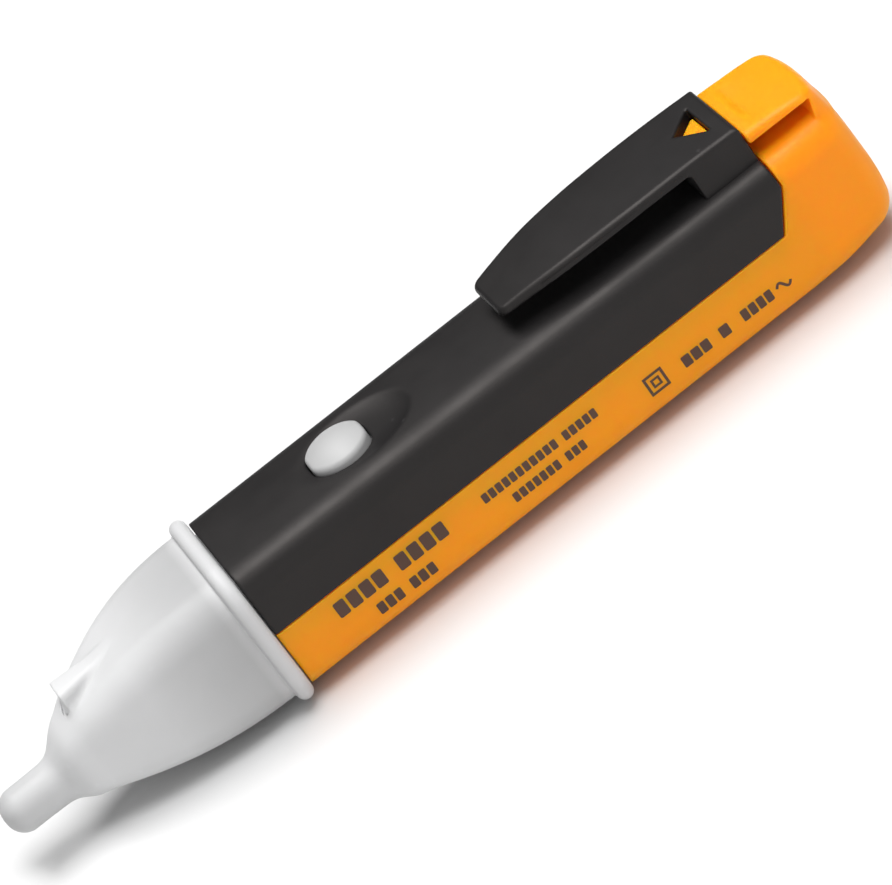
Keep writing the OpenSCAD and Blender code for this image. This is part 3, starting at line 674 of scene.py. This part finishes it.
LED = plastic("led_red", (0.7, 0.02, 0.015), 0.12, 0.05, 800, 0.02, 0.2, coat=0.6)
WHITE_WIRE = plastic("wire_white", (0.75, 0.75, 0.73), 0.4, 0.04, 2500, 0.1)
RED_WIRE = plastic("wire_red", (0.55, 0.02, 0.015), 0.4, 0.06, 2500, 0.1)
BLACK_WIRE = plastic("wire_black", (0.02, 0.02, 0.02), 0.4, 0.1, 2500, 0.1)
INK = plastic("print_ink", (0.06, 0.022, 0.01), 0.5, 0.15, 3500, 0.3, 0.2)
STEEL = metal("spring_steel", (0.66, 0.65, 0.62), 0.28, 900, (1, 1, 6))
TINNED = metal("tinned_wire", (0.7, 0.7, 0.7), 0.22)
CAN = metal("capacitor_can", (0.7, 0.71, 0.73), 0.3, 1200, (1, 1, 8))
BRASS = metal("brass_sheet", (0.72, 0.5, 0.2), 0.3, 900, (6, 1, 1))
SCREW = metal("screw_steel", (0.5, 0.5, 0.51), 0.3, 1500)


def cell_jacket():
    """Printed foil jacket in two plain colours, bare metal at both ends."""
    m, b, tree = principled("cell_jacket")
    (x0, _, _), (x1, _, _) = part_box("battery_left")
    bare, green, gold = (0.6, 0.6, 0.58), (0.02, 0.09, 0.05), (0.6, 0.38, 0.1)
    stops = [(0, bare), (0.035, bare), (0.04, green), (0.6, green), (0.605, gold), (0.955, gold),
             (0.96, bare)]
    tree.links.new(ramp(tree, along_x(tree, x0, x1), stops), b.inputs["Base Color"])
    b.inputs["Metallic"].default_value = 0.7
    rough = ramp(tree, noise(tree, 500, 4), [(0.3, grey(0.22)), (0.7, grey(0.36))])
    tree.links.new(rough, b.inputs["Roughness"])
    return m


CELL = cell_jacket()
LOOKS = {
    "chassis": FRAME, "battery_left": CELL, "battery_right": CELL, "contact_spring": STEEL,
    "contact_plate": STEEL, "contact_bridge": STEEL, "circuit_board": BOARD, "switch_body": CHIP,
    "switch_plunger": PLUNGER, "sense_chip": CHIP, "chip_resistors": CHIP,
    "chip_capacitors": CERAMIC_CHIP, "storage_capacitor": CAN, "transistor": CHIP,
    "alarm_led": LED, "led_leads": TINNED, "sensor_strip": BRASS, "sensor_wire": WHITE_WIRE,
    "buzzer_disc": BRASS, "buzzer_ceramic": PIEZO, "buzzer_wire_red": RED_WIRE,
    "buzzer_wire_black": BLACK_WIRE, "battery_wire_red": RED_WIRE,
    "battery_wire_black": BLACK_WIRE, "case_screws": SCREW,
}
# edge rounding of the inner parts, in millimetres
BEVELS = {"chassis": 0.15, "battery_left": 0.35, "battery_right": 0.35, "circuit_board": 0.08,
          "switch_body": 0.12, "sense_chip": 0.06, "chip_resistors": 0.05, "chip_capacitors": 0.08,
          "storage_capacitor": 0.2, "transistor": 0.05, "case_screws": 0.1}
for node, material in LOOKS.items():
    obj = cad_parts[node]
    obj.data.materials.clear()
    obj.data.materials.append(material)
    if node in BEVELS:
        bevel = obj.modifiers.new("edges", "BEVEL")
        bevel.width = BEVELS[node] * MM
        bevel.segments = 2
        bevel.limit_method = "ANGLE"
        bevel.angle_limit = math.radians(40)

for obj, material in ((upper, BLACK), (clip, BLACK), (cover, ORANGE), (nose, NOSE), (button, BUTTON),
                      (prints, INK)):
    obj.data.materials.clear()
    obj.data.materials.append(material)

# ---------------------------------------------------------------- what each piece rides on
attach(upper, "case")
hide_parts("upper_shell")
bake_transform(clip)
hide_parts("pocket_clip")
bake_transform(cover)
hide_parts("battery_cover", "latch_tongue")
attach(prints, "cover")
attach(nose, "case")
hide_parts("nose_shell")
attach(button, "button")
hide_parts("power_button")

# ---------------------------------------------------------------- floor, light, camera
FLOOR_HALF, FLOOR_Z = 1.6, -0.0001


def make_floor():
    points, faces, n = [], [], 40
    for a in range(n + 1):
        for b in range(n + 1):
            points.append((-FLOOR_HALF + 2 * FLOOR_HALF * a / n,
                           -FLOOR_HALF + 2 * FLOOR_HALF * b / n, FLOOR_Z))
    for a in range(n):
        for b in range(n):
            k = a * (n + 1) + b
            faces.append([k, k + n + 1, k + n + 2, k + 1])
    floor = mesh_object("floor", np.array(points), np.array(faces))
    m, b, tree = principled("floor_paper")
    tree.links.new(ramp(tree, noise(tree, 3, 2), [(0.3, grey(0.68)), (0.7, grey(0.7))]),
                   b.inputs["Base Color"])
    b.inputs["Roughness"].default_value = 0.9
    b.inputs["Specular IOR Level"].default_value = 0.1
    floor.data.materials.append(m)


def area_light(name, place, target, wide, power, tall):
    data = bpy.data.lights.new(name, "AREA")
    data.energy = power
    data.shape = "RECTANGLE"
    data.size, data.size_y = wide, tall
    obj = bpy.data.objects.new(name, data)
    bpy.context.scene.collection.objects.link(obj)
    obj.location = place
    obj.rotation_euler = (Vector(target) - Vector(place)).to_track_quat("-Z", "Y").to_euler()


make_floor()
area_light("top_light", (0.12, 0.04, 1.1), (0, 0, 0), 1.4, 20, 0.5)
area_light("front_light", (-0.25, -0.75, 0.2), (0, 0, 0.01), 0.7, 0.6, 0.2)
world = bpy.data.worlds.new("studio")
world.use_nodes = True
sky = world.node_tree
heading = sky.nodes.new("ShaderNodeSeparateXYZ")
sky.links.new(sky.nodes.new("ShaderNodeTexCoord").outputs["Generated"], heading.inputs[0])
to_front = sky.nodes.new("ShaderNodeMapRange")
to_front.inputs["From Min"].default_value = 1
to_front.inputs["From Max"].default_value = -1
sky.links.new(heading.outputs["Y"], to_front.inputs["Value"])
glow = ramp(sky, to_front.outputs[0],
            [(0.0, grey(0.05)), (0.35, grey(0.12)), (0.65, grey(0.4)), (1.0, grey(0.62))])
sky.links.new(glow, sky.nodes["Background"].inputs["Color"])
bpy.context.scene.world = world

AZIMUTH, ELEVATION, ROLL = math.radians(-3.46), math.radians(30.46), math.radians(36.35)
# distance in metres, focal length in pixels of a picture 892 wide, and the point aimed at
DISTANCE, FOCAL, PICTURE_W, SENSOR_W = 0.8, 5644, 892, 36
AIM = Vector((0.00467, 0, 0.01391))
away = Vector((math.sin(AZIMUTH) * math.cos(ELEVATION), -math.cos(AZIMUTH) * math.cos(ELEVATION),
               math.sin(ELEVATION)))
right = (-away).cross(Vector((0, 0, 1))).normalized()
up = right.cross(-away)
across = math.cos(ROLL) * right - math.sin(ROLL) * up
upward = math.sin(ROLL) * right + math.cos(ROLL) * up
camera_data = bpy.data.cameras.new("camera")
camera_data.sensor_fit = "HORIZONTAL"
camera_data.sensor_width = SENSOR_W
camera_data.lens = SENSOR_W * FOCAL / PICTURE_W
camera_data.clip_start = 0.01
camera = bpy.data.objects.new("camera", camera_data)
bpy.context.scene.collection.objects.link(camera)
camera.matrix_world = Matrix.Translation(AIM + away * DISTANCE) @ Matrix((
    (across.x, upward.x, away.x), (across.y, upward.y, away.y),
    (across.z, upward.z, away.z))).to_4x4()
bpy.context.scene.camera = camera
bpy.context.scene.view_settings.view_transform = "Standard"
